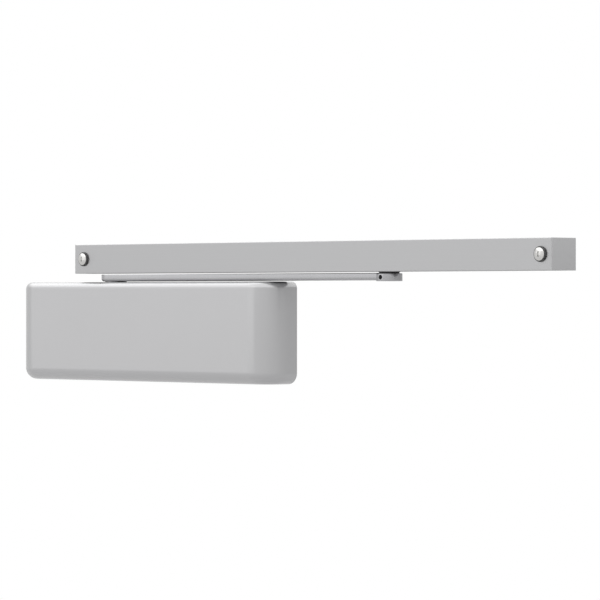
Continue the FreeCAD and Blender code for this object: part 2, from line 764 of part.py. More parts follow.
def make_arm_lever():
    """Forged arm: hub with a square-socketed boss, tapered bar and round eye."""
    hub = rod(hub_radius, Vector(pinion_x, pinion_y, arm_bottom), Z_AXIS, arm_thickness)
    lever = fused([hub, arm_bar()])
    bar_end = pinion_x + arm_length - eye_radius
    rims = edges_where(lever, lambda box: box.ZLength < tolerance and box.XMin < bar_end)
    lever = lever.makeFillet(arm_edge, rims)
    eye_start = Vector(pinion_x + arm_length, pinion_y, eye_bottom)
    eye = rod(eye_radius, eye_start, Z_AXIS, eye_top - eye_bottom)
    boss = rod(boss_radius, Vector(pinion_x, pinion_y, boss_bottom), Z_AXIS, arm_bottom - boss_bottom)
    above_eye = rod(eye_radius, Vector(pinion_x + arm_length, pinion_y, eye_top), Z_AXIS, arm_thickness)
    lever = fused([lever.cut(above_eye), eye, boss])
    grip = shaft_square + square_gap
    socket = block(pinion_x - grip, pinion_x + grip, pinion_y - grip, pinion_y + grip,
                   boss_bottom, socket_top)
    screw_hole = rod(arm_screw_radius + square_gap, Vector(pinion_x, pinion_y, socket_top), Z_AXIS,
                     socket_roof)
    sink = cone(arm_screw_radius + square_gap, arm_screw_head_radius,
                Vector(pinion_x, pinion_y, arm_top - arm_screw_head_height), Z_AXIS, arm_screw_head_height)
    stud_hole = rod(stud_radius, eye_start, Z_AXIS, eye_top - eye_bottom)
    set_hole = rod(set_screw_radius, set_screw_start(), Y_AXIS, eye_radius)
    return on_arm(cut_all(lever, [socket, screw_hole, sink, stud_hole, set_hole]))


def on_arm(shape):
    """Turn a piece that was built along X to the arm's angle at rest."""
    shape.rotate(Vector(pinion_x, pinion_y, 0), Z_AXIS, arm_angle)
    return shape


def set_screw_start():
    """Mouth of the set screw's hole, on the front of the eye."""
    return Vector(pinion_x + arm_length, pinion_y - eye_radius, (eye_top + eye_bottom) / 2)


def make_arm_screw():
    """Countersunk screw through the hub into the pinion, flush with the arm."""
    head = cone(arm_screw_radius, arm_screw_head_radius,
                Vector(pinion_x, pinion_y, arm_top - arm_screw_head_height), Z_AXIS, arm_screw_head_height)
    shank = rod(arm_screw_radius, Vector(pinion_x, pinion_y, arm_top - arm_screw_length), Z_AXIS,
                arm_screw_length - arm_screw_head_height)
    key = hexagon(arm_screw_key, Vector(pinion_x, pinion_y, arm_top), -Z_AXIS, arm_screw_head_height)
    return on_arm(fused([head, shank]).cut(key))


def make_slide_stud():
    """Hardened stud held in the arm's eye, that the slide shoe turns on."""
    foot = Vector(pinion_x + arm_length, pinion_y, eye_bottom)
    stud = rod(stud_radius, foot, Z_AXIS, stud_top - eye_bottom)
    groove_start = foot + Z_AXIS * (retainer_bottom - eye_bottom)
    groove = tube(stud_radius, stud_radius - ring_groove, groove_start, Z_AXIS, retainer_thickness)
    return on_arm(stud.cut(groove))


def make_stud_set_screw():
    """Headless screw in the front of the eye that locks the stud."""
    start = set_screw_start() + Y_AXIS * set_screw_recess
    length = eye_radius - set_screw_recess - stud_radius
    screw = rod(set_screw_radius, start, Y_AXIS, length)
    key = hexagon(set_screw_radius / 2, start, Y_AXIS, length / 2)
    stud_form = rod(stud_radius, Vector(start.x, pinion_y, eye_bottom), Z_AXIS, eye_top - eye_bottom)
    return on_arm(cut_all(screw, [key, stud_form]))


def make_stud_retainer():
    """Retaining ring in the stud's groove, above the shoe's bush."""
    centre = Vector(pinion_x + arm_length, pinion_y, retainer_bottom)
    clip = tube(retainer_radius, stud_radius - ring_groove, centre, Z_AXIS, retainer_thickness)
    half_mouth = stud_radius / 2
    mouth = block(centre.x - half_mouth, centre.x + half_mouth, pinion_y, pinion_y + retainer_radius,
                  retainer_bottom, retainer_bottom + retainer_thickness)
    return on_arm(clip.cut(mouth))


# ---- slide shoe -------------------------------------------------------------------------
def make_slide_shoe():
    """Plastic block in the track, with a neck through the slot and a round collar under it."""
    half_width = track_depth / 2 - track_wall - sliding_gap
    block_form = block(stud_x - shoe_length / 2, stud_x + shoe_length / 2, stud_y - half_width,
                       stud_y + half_width, shoe_bottom, shoe_top)
    block_form = block_form.makeFillet(
        shoe_corner, edges_where(block_form, lambda box: box.ZLength > shoe_top - shoe_bottom - tolerance))
    neck_half = track_slot / 2 - sliding_gap
    collar_top = track_bottom - collar_gap
    neck = block(stud_x - shoe_neck_length / 2, stud_x + shoe_neck_length / 2, stud_y - neck_half,
                 stud_y + neck_half, collar_top, shoe_bottom)
    collar_bottom = eye_top + collar_gap
    collar = rod(collar_radius, Vector(stud_x, stud_y, collar_bottom), Z_AXIS, collar_top - collar_bottom)
    bush_hole = rod(bush_radius, Vector(stud_x, stud_y, collar_bottom), Z_AXIS,
                    shoe_top - collar_bottom)
    pocket = rod(retainer_pocket_radius, Vector(stud_x, stud_y, retainer_floor), Z_AXIS,
                 retainer_pocket_depth)
    return cut_all(fused([block_form, neck, collar]), [bush_hole, pocket])


def make_shoe_bushing():
    """Bronze bush between the stud and the shoe."""
    start = Vector(stud_x, stud_y, eye_top + collar_gap)
    return tube(bush_radius, bush_radius - bushing_wall, start, Z_AXIS, retainer_floor - start.z)


# ---- track ------------------------------------------------------------------------------
def track_cavity():
    """Inside of the track and its slot."""
    hollow = block(track_left, track_right, -track_depth + track_wall, -track_wall,
                   track_bottom + track_wall, track_top - track_wall)
    slot = block(track_left, track_right, stud_y - track_slot / 2, stud_y + track_slot / 2,
                 track_bottom, track_bottom + track_wall)
    return hollow, slot


def make_track_channel():
    """Extruded channel, open along the bottom, with a screw hole near each end."""
    left = track_left + end_cap_thickness
    right = track_right - end_cap_thickness
    channel = block(left, right, -track_depth, 0, track_bottom, track_top)
    long_edges = edges_where(channel, lambda box: box.XLength > track_length / 2)
    channel = channel.makeFillet(track_edge, long_edges)
    holes = [rod(track_screw_hole, Vector(x, 0, track_screw_z), -Y_AXIS, track_depth) for x in track_screw_xs]
    return cut_all(channel, list(track_cavity()) + holes)


def make_track_end_cap(side):
    """Moulded cap that closes one end of the track; side is -1 at the left and 1 at the right."""
    end = track_left if side < 0 else track_right
    face = end - side * end_cap_thickness
    plug_end = face - side * end_cap_plug
    plate = block(min(end, face), max(end, face), -track_depth, 0, track_bottom, track_top)
    long_edges = edges_where(plate, lambda box: box.XLength > end_cap_thickness - tolerance)
    plate = plate.makeFillet(track_edge, long_edges)
    low = track_bottom + track_wall
    high = track_top - track_wall
    outer = block(min(face, plug_end), max(face, plug_end), -track_depth + track_wall, -track_wall, low, high)
    inner = block(min(face, plug_end), max(face, plug_end), -track_depth + track_wall + end_cap_wall,
                  -track_wall - end_cap_wall, low + end_cap_wall, high - end_cap_wall)
    return fused([plate, outer.cut(inner)])


def make_track_screws():
    """Pan-head screws through the track into the door frame."""
    screws = []
    for x in track_screw_xs:
        seat = Vector(x, -track_depth - washer_thickness, track_screw_z)
        rim = rod(track_screw_head_radius, seat, -Y_AXIS, track_screw_rim)
        dome_radius = (track_screw_head_radius ** 2 + track_screw_dome ** 2) / (2 * track_screw_dome)
        front = seat.y - track_screw_rim - track_screw_dome
        ball = Part.makeSphere(dome_radius, Vector(x, front + dome_radius, track_screw_z))
        head_zone = rod(track_screw_head_radius, seat - Y_AXIS * track_screw_rim, -Y_AXIS, track_screw_dome)
        thread_start = Vector(x, loose_gap, track_screw_z)
        shank = rod(track_screw_shank, seat, Y_AXIS, thread_start.y - seat.y)
        tip_start = Vector(x, track_screw_reach - track_screw_point, track_screw_z)
        thread = rod(track_screw_radius, thread_start, Y_AXIS, tip_start.y - thread_start.y)
        tip = cone(track_screw_radius, track_screw_tip, tip_start, Y_AXIS, track_screw_point)
        screw = fused([rim, ball.common(head_zone), shank, thread, tip])
        screws.append(screw.cut(cross_recess(Vector(x, front, track_screw_z))))
    return Part.makeCompound(screws)


def cross_recess(tip):
    """Tapered cross recess in a screw head, cut from its front."""
    depth = track_screw_rim + track_screw_dome - recess_floor
    long, half = recess_reach, recess_half_width
    wing_x = block(tip.x - long, tip.x + long, tip.y, tip.y + depth, tip.z - half, tip.z + half)
    wing_z = block(tip.x - half, tip.x + half, tip.y, tip.y + depth, tip.z - long, tip.z + long)
    funnel = cone(long, half, tip, Y_AXIS, depth)
    return fused([wing_x, wing_z]).common(funnel)


def make_screw_washers():
    """Moulded washers between the screws' heads and the track."""
    front = -track_depth - washer_thickness
    return Part.makeCompound([
        tube(washer_radius, track_screw_hole, Vector(x, front, track_screw_z), Y_AXIS, washer_thickness)
        for x in track_screw_xs
    ])


def make_screw_spacers():
    """Tubes round the screws, that keep the channel from being crushed."""
    length = track_depth - 2 * track_wall
    return Part.makeCompound([
        tube(spacer_radius, track_screw_hole, Vector(x, -track_wall, track_screw_z), -Y_AXIS, length)
        for x in track_screw_xs
    ])


def make_track_buffers():
    """Rubber blocks that stop the shoe before it meets the screws."""
    width = track_depth - 2 * track_wall
    buffers = []
    for x, side in zip(track_screw_xs, (1, -1)):
        near = x + side * spacer_radius
        far = near + side * buffer_length
        buffers.append(block(min(near, far), max(near, far), -track_wall - width, -track_wall,
                             track_bottom + track_wall, track_top - track_wall))
    return Part.makeCompound(buffers)


# ---- build ------------------------------------------------------------------------------
def make_nodes():
    """Every node by name."""
    nodes = {
        "cover": make_cover(),
        "mounting_plate": make_mounting_plate(),
        "cover_clips": make_cover_clips(),
        "clip_screws": make_clip_screws(),
        "closer_body": make_closer_body(),
        "body_screws": make_body_screws(),
        "left_end_plug": make_left_end_plug(),
        "left_plug_ring": make_plug_ring(left_plug_face, -1),
        "right_end_plug": make_right_end_plug(),
        "right_plug_ring": make_plug_ring(right_plug_face, 1),
        "pinion_shaft": make_pinion_shaft(),
        "piston": make_piston(),
        "piston_seal": make_piston_seal(),
        "check_valve_seat": make_check_valve_seat(),
        "check_valve_ball": make_check_valve_ball(),
        "closer_spring": make_closer_spring(),
        "spring_seat": make_spring_seat(),
        "power_adjust_screw": make_power_adjust_screw(),
        "spindle_ring": make_spindle_ring(),
        "arm_lever": make_arm_lever(),
        "arm_screw": make_arm_screw(),
        "slide_stud": make_slide_stud(),
        "stud_set_screw": make_stud_set_screw(),
        "stud_retainer": make_stud_retainer(),
        "slide_shoe": make_slide_shoe(),
        "shoe_bushing": make_shoe_bushing(),
        "track_channel": make_track_channel(),
        "track_end_cap_left": make_track_end_cap(-1),
        "track_end_cap_right": make_track_end_cap(1),
        "track_screws": make_track_screws(),
        "screw_washers": make_screw_washers(),
        "screw_spacers": make_screw_spacers(),
        "track_buffers": make_track_buffers(),
    }
    for name, side in (("upper", 1), ("lower", -1)):
        nodes[name + "_bearing"] = make_bearing(side)
        nodes[name + "_shaft_seal"] = make_shaft_seal(side)
        nodes[name + "_gland_nut"] = make_gland_nut(side)
    for name, place in valve_places().items():
        nodes[name] = make_valve(*place)
        nodes[name + "_ring"] = make_valve_ring(*place)
    return nodes


os.makedirs("parts", exist_ok=True)
for node, shape in make_nodes().items():
    shape.exportStep(os.path.join("parts", node + ".step"))
    print(f"{node:24s} solids {len(shape.Solids)} valid {shape.isValid()} volume {shape.Volume:.1f}")
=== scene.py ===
"""Looks of a surface-mounted door closer with a slide arm and a track."""
import json
import math

import bmesh
import bpy
from mathutils import Matrix, Vector


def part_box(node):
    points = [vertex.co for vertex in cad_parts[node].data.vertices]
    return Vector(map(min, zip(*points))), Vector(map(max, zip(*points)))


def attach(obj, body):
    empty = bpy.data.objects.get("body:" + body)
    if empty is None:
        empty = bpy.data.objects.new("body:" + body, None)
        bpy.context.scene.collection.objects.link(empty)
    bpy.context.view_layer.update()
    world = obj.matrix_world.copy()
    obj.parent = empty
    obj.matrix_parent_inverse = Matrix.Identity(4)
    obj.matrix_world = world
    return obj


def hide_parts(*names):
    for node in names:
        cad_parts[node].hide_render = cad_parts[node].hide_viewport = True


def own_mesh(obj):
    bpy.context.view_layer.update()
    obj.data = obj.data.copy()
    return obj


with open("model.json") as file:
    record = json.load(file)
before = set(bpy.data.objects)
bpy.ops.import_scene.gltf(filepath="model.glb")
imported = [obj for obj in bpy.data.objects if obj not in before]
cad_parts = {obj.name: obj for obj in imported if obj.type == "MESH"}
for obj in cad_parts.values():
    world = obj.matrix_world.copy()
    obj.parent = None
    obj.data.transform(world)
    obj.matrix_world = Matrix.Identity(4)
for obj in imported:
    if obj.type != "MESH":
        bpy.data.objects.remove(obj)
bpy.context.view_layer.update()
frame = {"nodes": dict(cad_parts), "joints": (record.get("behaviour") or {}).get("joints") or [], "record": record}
MM = 0.001
X_AXIS = Vector((1, 0, 0))
Y_AXIS = Vector((0, 1, 0))
Z_AXIS = Vector((0, 0, 1))
NEAR = 1e-6
VERY_NEAR = 1e-7

# ---- sizes that the frame doesn't state, in metres ----------------------------------------
COVER_CORNER = 24 * MM
COVER_TOP_FILLET = 6 * MM
COVER_BOTTOM_FILLET = 10 * MM
COVER_WALL = 2 * MM
COVER_OPENING = 11 * MM
COVER_SPARE = 10 * MM
FLAT_MARGIN = 0.6 * MM
HUB_RADIUS = 12.7 * MM
HUB_HALF_WIDTH = 11 * MM
EYE_RADIUS = 10.7 * MM
EYE_HALF_WIDTH = 9 * MM
ARM_THICKNESS = 6 * MM
ARM_TOP_EDGE = 0.6 * MM
ARM_BOTTOM_EDGE = 2.2 * MM
EYE_TOP_STEP = 0.4 * MM
EYE_BOTTOM_STEP = 0.7 * MM
EYE_EDGE = 0.5 * MM
BOSS_RADIUS = 9.5 * MM
BOSS_EDGE = 0.4 * MM
SET_HOLE_RADIUS = 1.9 * MM
STUD_RADIUS = 4 * MM
SINK_RADIUS = 5 * MM
SINK_DEPTH = 2.6 * MM
SINK_FOOT = 2.6 * MM
SINK_SPARE = 0.15 * MM
SCREW_RIM = 0.5 * MM
SCREW_SHANK = 2.2 * MM
SCREW_THREAD = 2.4 * MM
SCREW_CORE = 1.8 * MM
SCREW_POINT = 3.5 * MM
THREAD_START = 0.3 * MM
THREAD_TAPER = 0.4 * MM
THREAD_PITCH = 1.6 * MM
THREAD_HALF_WIDTH = 0.28 * THREAD_PITCH
THREAD_STEPS = 24
RECESS_REACH = 2.4 * MM
RECESS_HALF_WIDTH = 0.5 * MM
RECESS_DEPTH = 1.3 * MM
RECESS_SPARE = 0.3 * MM
RECESS_TAPER = 0.6
WASHER_EDGE = 0.6 * MM
CAP_PLATE = 1 * MM
CAP_EDGE = 0.4 * MM
CHANNEL_WALL = 2.4 * MM
SHOE_CORNER = 3 * MM
SHOE_EDGE = 0.4 * MM
LIP_TOP = 2.6 * MM
COLLAR_RADIUS = 8.3 * MM
COLLAR_EDGE = 0.2 * MM
COLLAR_GAP = 0.1 * MM
BUSH_RADIUS = 5.25 * MM
NECK_LENGTH = 15 * MM
NECK_WALL = 1.05 * MM
NECK_CORNER = 2 * MM
NECK_OVERLAP = 0.3 * MM
SPRING_WIRE = 1.6 * MM
SPRING_TURNS = 13
SPRING_STEPS = 32
SMALL_SPARE = 0.1 * MM

# ---- studio, in metres, watts and plain factors ---------------------------------------------
FLOOR_CENTRE_X = 0.15
FLOOR_HEIGHT = -0.45
FLOOR_RADIUS = 2.1
FLOOR_COLOUR = "#BCBCBC"
WORLD_FRONT = 1.04
WORLD_BACK = 0.66
HORIZON_LOW = -0.3
HORIZON_HIGH = 0.2
LOW_SHADE = 0.88
SKY_START = 0.3
SKY_BLEND = 0.15
SKY_BOOST = 0.8
KEY_POWER = 8
OVERHEAD_POWER = 3
AIM = (0.1, 0, 0.02)
CAMERA_PLACE = (2.2085, -2.0433, 0.031)
CAMERA_YAW = 45
CAMERA_LENS = 207
CAMERA_SHIFT = -4 / 600


def joint(name):
    """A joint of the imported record, by name."""
    return next(entry for entry in frame["joints"] if entry["name"] == name)


PINION = Vector(joint("arm_swing")["pos_m"])
STUD = Vector(joint("shoe_pivot")["pos_m"])
ARM_ANGLE = math.atan2(STUD.y - PINION.y, STUD.x - PINION.x)
ARM_LENGTH = math.hypot(STUD.x - PINION.x, STUD.y - PINION.y)
BAR_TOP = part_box("arm_lever")[1].z
BAR_BOTTOM = BAR_TOP - ARM_THICKNESS
BOSS_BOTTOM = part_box("arm_lever")[0].z


# ---- mesh helpers --------------------------------------------------------------------------
def piece_from(mesh_data, name, body, replaced=(), smooth_angle=40):
    """Turns a bmesh into a piece that rides on a body and may stand for CAD nodes."""
    bmesh.ops.remove_doubles(mesh_data, verts=mesh_data.verts, dist=NEAR)
    bmesh.ops.recalc_face_normals(mesh_data, faces=mesh_data.faces)
    mesh = bpy.data.meshes.new(name)
    mesh_data.to_mesh(mesh)
    mesh_data.free()
    mesh.shade_smooth()
    mesh.set_sharp_from_angle(angle=math.radians(smooth_angle))
    piece = bpy.data.objects.new(name, mesh)
    bpy.context.scene.collection.objects.link(piece)
    if body:
        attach(piece, body)
    if replaced:
        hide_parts(*replaced)
    return piece


def box_mesh(low, high):
    """A bmesh box between two corners."""
    made = bmesh.new()
    size = Vector(high) - Vector(low)
    middle = (Vector(high) + Vector(low)) / 2
    placed = Matrix.Translation(middle) @ Matrix.Diagonal((*size, 1))
    bmesh.ops.create_cube(made, size=1, matrix=placed)
    return made


def edges_where(mesh_data, test):
    """Edges whose two ends both pass a test."""
    return [e for e in mesh_data.edges if all(test(v.co) for v in e.verts)]


def level_at(edge, height):
    """Whether an edge lies level at a height."""
    return all(abs(v.co.z - height) < NEAR for v in edge.verts)


def round_edges(mesh_data, edges, radius, segments):
    """Rounds edges to a radius."""
    bmesh.ops.bevel(mesh_data, geom=edges, offset=radius, offset_type="OFFSET", segments=segments,
                    profile=0.5, affect="EDGES", material=-1, clamp_overlap=False)


def lathe(mesh_data, profile, origin, axis, segments=64):
    """Turns a profile of (radius, distance along the axis) pairs into a round form."""
    turned = Z_AXIS.rotation_difference(axis).to_matrix()
    side = turned @ X_AXIS
    verts = [mesh_data.verts.new(origin + side * r + axis * h) for r, h in profile]
    edges = [mesh_data.edges.new(pair) for pair in zip(verts, verts[1:])]
    bmesh.ops.spin(mesh_data, geom=verts + edges, cent=origin, axis=axis, dvec=(0, 0, 0),
                   angle=math.tau, steps=segments, use_merge=True, use_duplicate=False)
    bmesh.ops.remove_doubles(mesh_data, verts=mesh_data.verts, dist=VERY_NEAR)


def rounded_profile(radius, start, end, edge, steps=4):
    """Profile of a cylinder with both rims rounded."""
    points = [(0, start)]
    for step in range(steps + 1):
        turn = math.pi / 2 * step / steps
        points.append((radius - edge + edge * math.sin(turn), start + edge - edge * math.cos(turn)))
    for step in range(steps + 1):
        turn = math.pi / 2 * step / steps
        points.append((radius - edge + edge * math.cos(turn), end - edge + edge * math.sin(turn)))
    points.append((0, end))
    return points


def carve(piece, cutter_data):
    """Cuts a bmesh out of a piece."""
    bmesh.ops.recalc_face_normals(cutter_data, faces=cutter_data.faces)
    mesh = bpy.data.meshes.new("cutter")
    cutter_data.to_mesh(mesh)
    cutter_data.free()
    cutter = bpy.data.objects.new("cutter", mesh)
    bpy.context.scene.collection.objects.link(cutter)
    cut = piece.modifiers.new("cut", "BOOLEAN")
    cut.operation = "DIFFERENCE"
    cut.solver = "EXACT"
    cut.object = cutter
    graph = bpy.context.evaluated_depsgraph_get()
    carved = bpy.data.meshes.new_from_object(piece.evaluated_get(graph))
    piece.modifiers.remove(cut)
    piece.data = carved
    bpy.data.objects.remove(cutter)
    carved.set_sharp_from_angle(angle=math.radians(40))


# ---- material helpers ----------------------------------------------------------------------
def srgb(hex_colour):
    """Linear RGBA from an sRGB hex colour."""
    values = [int(hex_colour[i:i + 2], 16) / 255 for i in (1, 3, 5)]
    linear = [v / 12.92 if v <= 0.04045 else ((v + 0.055) / 1.055) ** 2.4 for v in values]
    return (*linear, 1.0)


def add(tree, kind, inputs=None, **settings):
    """Adds a node with its settings, and sets or links its inputs."""
    made = tree.nodes.new(kind)
    for name, value in settings.items():
        setattr(made, name, value)
    for key, value in (inputs or {}).items():
        if isinstance(value, bpy.types.NodeSocket):
            tree.links.new(value, made.inputs[key])
        else:
            made.inputs[key].default_value = value
    return made


def surface(name, **shader_inputs):
    """A material with one principled shader; returns it, its tree, shader and coordinates."""
    material = bpy.data.materials.new(name)
    material.use_nodes = True
    tree = material.node_tree
    shader = tree.nodes["Principled BSDF"]
    for key, value in shader_inputs.items():
        shader.inputs[key.replace("_", " ")].default_value = value
    coordinates = add(tree, "ShaderNodeTexCoord").outputs["Object"]
    return material, tree, shader, coordinates


def tint(tree, shader, source, dark, light):
    """Base colour that follows a pattern between two near colours."""
    mix = add(tree, "ShaderNodeMix", {0: source, 6: srgb(dark), 7: srgb(light)}, data_type="RGBA")
    tree.links.new(mix.outputs[2], shader.inputs["Base Color"])


def mottle(tree, shader, coordinates, light, dark, grain_mm, detail=3):
    """Slow drift between two near colours, in patches of a size."""
    noise = add(tree, "ShaderNodeTexNoise", {
        "Vector": coordinates, "Scale": 1 / (grain_mm * MM), "Detail": detail, "Roughness": 0.5})
    tint(tree, shader, noise.outputs["Fac"], dark, light)
    return noise


def vary_roughness(tree, shader, source, low, high):
    """Roughness that follows a pattern between two values."""
    spread = add(tree, "ShaderNodeMapRange", {"Value": source, "To Min": low, "To Max": high})
    tree.links.new(spread.outputs["Result"], shader.inputs["Roughness"])


def bump(tree, shader, height, distance_mm, strength=1.0):
    """Raises the surface by a pattern."""
    raised = add(tree, "ShaderNodeBump", {
        "Height": height, "Distance": distance_mm * MM, "Strength": strength})
    tree.links.new(raised.outputs["Normal"], shader.inputs["Normal"])


def streaks(tree, coordinates, axis, width_mm, length_mm, detail=2):
    """Fine lines along an axis, as a die, a brush or a lathe tool leaves."""
    scale = [1 / (width_mm * MM)] * 3
    scale["XYZ".index(axis)] = 1 / (length_mm * MM)
    stretched = add(tree, "ShaderNodeMapping", {"Vector": coordinates, "Scale": scale})
    return add(tree, "ShaderNodeTexNoise", {
        "Vector": stretched.outputs["Vector"], "Scale": 1.0, "Detail": detail, "Roughness": 0.6})


# ---- materials -----------------------------------------------------------------------------
def silver_painted_abs():
    """Moulded ABS under silver lacquer and a clear coat: even and satin, softly glossy on curves.

    The paint's grain is 0.9 mm, coarser than real, so that it shows.
    """
    material, tree, shader, place = surface("silver_painted_abs", Metallic=0.55, IOR=1.5,
                                            Roughness=0.24, Coat_Weight=0.3, Coat_Roughness=0.08)
    drift = mottle(tree, shader, place, "#AFAFB0", "#ABABAC", 60)
    vary_roughness(tree, shader, drift.outputs["Fac"], 0.21, 0.27)
    grain = add(tree, "ShaderNodeTexNoise", {"Vector": place, "Scale": 1 / (0.9 * MM), "Detail": 2.0})
    bump(tree, shader, grain.outputs["Fac"], 0.003, 0.2)
    return material


def silver_enamel_steel():
    """Silver enamel baked on forged steel: glossier than the cover, with a little orange peel."""
    material, tree, shader, place = surface("silver_enamel_steel", Metallic=0.9, IOR=1.5,
                                            Roughness=0.22)
    drift = mottle(tree, shader, place, "#ADADAF", "#A6A6A8", 25)
    vary_roughness(tree, shader, drift.outputs["Fac"], 0.2, 0.26)
    peel = add(tree, "ShaderNodeTexNoise", {"Vector": place, "Scale": 1 / (3 * MM), "Detail": 1.0})
    bump(tree, shader, peel.outputs["Fac"], 0.01, 0.2)
    return material


def anodised_aluminium():
    """Clear-anodised extrusion: soft metal sheen with faint die lines along its length.

    The lines are 0.9 mm wide, coarser than a real die leaves, so that they show.
    """
    material, tree, shader, place = surface("anodised_aluminium", Metallic=1.0, Roughness=0.4)
    lines = streaks(tree, place, "X", 0.9, 260)
    tint(tree, shader, lines.outputs["Fac"], "#ABABAC", "#B1B1B2")
    vary_roughness(tree, shader, lines.outputs["Fac"], 0.34, 0.46)
    bump(tree, shader, lines.outputs["Fac"], 0.01, 0.25)
    return material


def silver_nylon():
    """Moulded nylon end cap: silver-grey right through, with a fine texture, drawn coarse to show."""
    material, tree, shader, place = surface("silver_nylon", IOR=1.53, Roughness=0.5)
    drift = mottle(tree, shader, place, "#A3A3A4", "#9F9FA0", 12)
    grain = add(tree, "ShaderNodeTexNoise", {"Vector": place, "Scale": 1 / (0.7 * MM), "Detail": 2.0})
    vary_roughness(tree, shader, drift.outputs["Fac"], 0.46, 0.54)
    bump(tree, shader, grain.outputs["Fac"], 0.02, 0.3)
    return material


def nickel_plated_steel():
    """Bright nickel on a formed screw: smooth and mirror-like, with a few handling marks."""
    material, tree, shader, place = surface("nickel_plated_steel", Metallic=1.0, Roughness=0.12)
    marks = add(tree, "ShaderNodeTexNoise", {"Vector": place, "Scale": 1 / (2.0 * MM), "Detail": 4.0})
    tint(tree, shader, marks.outputs["Fac"], "#C9C8C6", "#D4D3D1")
    vary_roughness(tree, shader, marks.outputs["Fac"], 0.08, 0.18)
    bump(tree, shader, marks.outputs["Fac"], 0.005, 0.3)
    return material


def zinc_plated_steel():
    """Zinc on pressed steel: bluish grey with a faint spangle."""
    material, tree, shader, place = surface("zinc_plated_steel", Metallic=1.0, Roughness=0.38)
    spangle = add(tree, "ShaderNodeTexVoronoi", {"Vector": place, "Scale": 1 / (6 * MM)})
    tint(tree, shader, spangle.outputs["Color"], "#A9ADB0", "#BBBEC0")
    vary_roughness(tree, shader, spangle.outputs["Color"], 0.3, 0.46)
    return material


def turned_steel(name="turned_steel", colour="#A8A9AB", dark="#9A9B9D", axis="X",
                 roughness=(0.2, 0.34)):
    """Turned and ground metal: a satin shine drawn out along fine tool lines.

    The lines are 0.4 mm apart, coarser than a real feed, so that they show.
    """
    material, tree, shader, place = surface(name, Metallic=1.0, Roughness=roughness[0])
    lines = streaks(tree, place, axis, 6, 0.4)
    tint(tree, shader, lines.outputs["Fac"], dark, colour)
    vary_roughness(tree, shader, lines.outputs["Fac"], *roughness)
    bump(tree, shader, lines.outputs["Fac"], 0.01, 0.3)
    return material


def cast_aluminium():
    """Die-cast aluminium, lightly blasted: dull, with a coarse skin."""
    material, tree, shader, place = surface("cast_aluminium", Metallic=1.0, Roughness=0.55)
    skin = mottle(tree, shader, place, "#A3A4A6", "#8F9092", 4, detail=5)
    vary_roughness(tree, shader, skin.outputs["Fac"], 0.48, 0.66)
    bump(tree, shader, skin.outputs["Fac"], 0.15, 0.5)
    return material


def black_nylon():
    """Black moulded nylon: dull, with the mould's fine texture, which is drawn coarse to show."""
    material, tree, shader, place = surface("black_nylon", IOR=1.53, Roughness=0.5)
    drift = mottle(tree, shader, place, "#373738", "#2D2D2E", 5)
    grain = add(tree, "ShaderNodeTexNoise", {"Vector": place, "Scale": 1 / (0.5 * MM), "Detail": 2.0})
    vary_roughness(tree, shader, drift.outputs["Fac"], 0.42, 0.56)
    bump(tree, shader, grain.outputs["Fac"], 0.02, 0.4)
    return material


def nitrile_rubber():
    """Moulded nitrile rubber: near black and matt, with a bloom."""
    material, tree, shader, place = surface("nitrile_rubber", IOR=1.52, Roughness=0.7)
    bloom = mottle(tree, shader, place, "#252525", "#161616", 3)
    vary_roughness(tree, shader, bloom.outputs["Fac"], 0.62, 0.8)
    return material


def black_oxide_steel():
    """Black-oxide screw steel, with brighter worn patches."""
    material, tree, shader, place = surface("black_oxide_steel", Metallic=0.9, Roughness=0.4)
    wear = mottle(tree, shader, place, "#3A3A3C", "#1D1D1F", 1.5)
    vary_roughness(tree, shader, wear.outputs["Fac"], 0.34, 0.5)
    return material


MATERIALS = {
    "cover_plastic": silver_painted_abs(),
    "painted_arm": silver_enamel_steel(),
    "anodised_track": anodised_aluminium(),
    "cap_plastic": silver_nylon(),
    "plated_screw": nickel_plated_steel(),
    "zinc_steel": zinc_plated_steel(),
    "machined_steel": turned_steel(),
    "spring_steel": turned_steel("oiled_spring_steel", "#6F7073", "#5A5B5E", "Y", (0.28, 0.42)),
    "bronze": turned_steel("sintered_bronze", "#B08A58", "#96713F", "Z", (0.4, 0.55)),
    "brass": turned_steel("turned_brass", "#C9A85C", "#B89448", "X", (0.22, 0.34)),
    "cast_aluminium": cast_aluminium(),
    "shoe_plastic": black_nylon(),
    "seal_rubber": nitrile_rubber(),
    "buffer_rubber": nitrile_rubber(),
    "black_steel": black_oxide_steel(),
}


def dress(piece, slot):
    """Gives a piece its slot's material."""
    piece.data.materials.clear()
    piece.data.materials.append(MATERIALS[slot])


# ---- cover ---------------------------------------------------------------------------------
def cover_form(inset, back_y):
    """The cover's outer form, or its hollow at an inset: big front corners and two fillets."""
    low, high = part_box("cover")
    margin = Vector((inset, inset, inset))
    low = low + margin
    high = high - margin
    beyond = back_y + COVER_SPARE
    form = box_mesh(low, (high.x, beyond, high.z))

    def at_front(co):
        return abs(co.y - low.y) < NEAR

    upright = [e for e in edges_where(form, at_front)
               if not level_at(e, high.z) and not level_at(e, low.z)]
    round_edges(form, upright, COVER_CORNER - inset, 24)
    for height, radius, segments in ((high.z, COVER_TOP_FILLET, 12), (low.z, COVER_BOTTOM_FILLET, 16)):
        rim = [e for e in form.edges
               if level_at(e, height) and any(v.co.y < beyond - NEAR for v in e.verts)]
        round_edges(form, rim, radius - inset, segments)
    flats = [f for f in form.faces if f.calc_area() > 1e-3 and f.normal.y < 0.5]
    bmesh.ops.inset_individual(form, faces=flats, thickness=FLAT_MARGIN, use_even_offset=True)
    bmesh.ops.bisect_plane(form, geom=form.verts[:] + form.edges[:] + form.faces[:], dist=VERY_NEAR,
                           plane_co=(0, back_y, 0), plane_no=Y_AXIS, clear_outer=True)
    bmesh.ops.contextual_create(form, geom=[e for e in form.edges if e.is_boundary])
    return form


